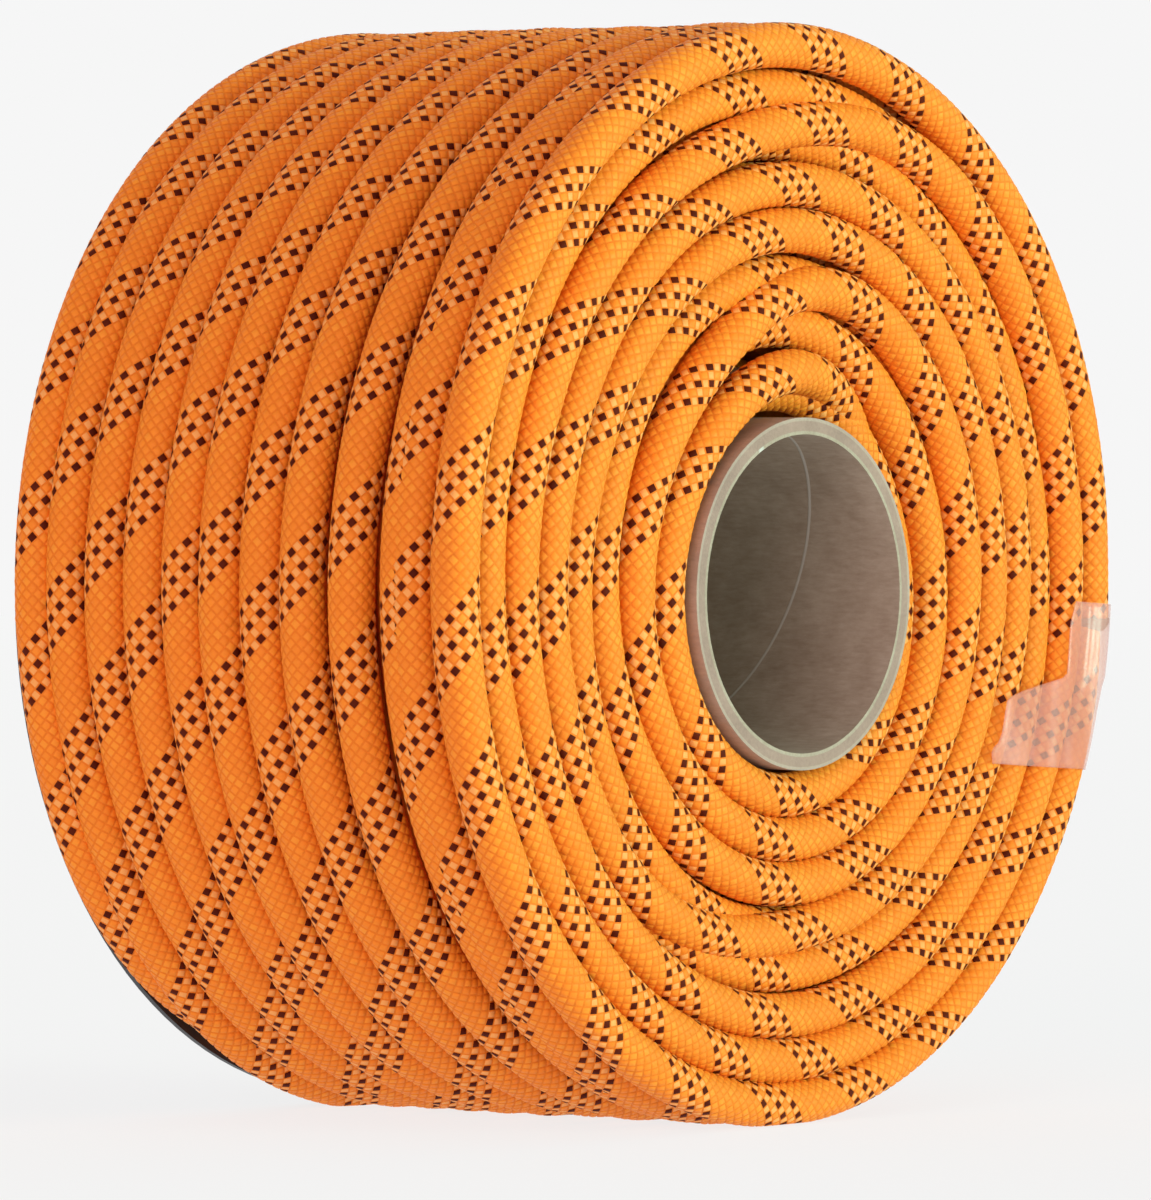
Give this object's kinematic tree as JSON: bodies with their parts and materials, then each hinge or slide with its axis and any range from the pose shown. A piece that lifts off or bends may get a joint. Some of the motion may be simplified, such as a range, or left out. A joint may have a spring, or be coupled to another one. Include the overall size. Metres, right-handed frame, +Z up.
{
  "type": "rope roll",
  "caption": "Braided kernmantle climbing rope wound in layers on a paperboard tube, its tail held by clear tape, with a thin disc on the far end.",
  "frame": {"origin": "middle of the tube's bore, on its axis, halfway along the tube", "axes": "+Z up as the roll stands on its rim, +Y along the tube away from the taped end face, +X towards the taped side"},
  "size_m": [0.2644, 0.1425, 0.2632],
  "materials": {
    "rope_sheath": "braided, satin",
    "rope_core": "twisted yarns",
    "fused_end": "melted, uneven",
    "paperboard": "matt, fibrous",
    "black_disc": "satin",
    "clear_tape": "glossy film",
    "paper_tape": "creped, matt"
  },
  "bodies": {
    "root": {"tube_liner": "paperboard", "tube_body": "paperboard", "tube_wrap": "paperboard", "rear_disc": "black_disc", "rope_tail_sheath": "rope_sheath", "rope_tail_core": "rope_core", "rope_tail_seal": "fused_end", "rope_start_seal": "fused_end", "start_tape": "paper_tape", "tail_tape": "clear_tape", "rope_layer_1": "rope_sheath", "rope_layer_2": "rope_sheath", "rope_layer_3": "rope_sheath", "rope_layer_4": "rope_sheath", "rope_layer_5": "rope_sheath", "rope_layer_6": "rope_sheath", "rope_layer_7": "rope_sheath", "rope_layer_8": "rope_sheath"}
  },
  "joints": []
}
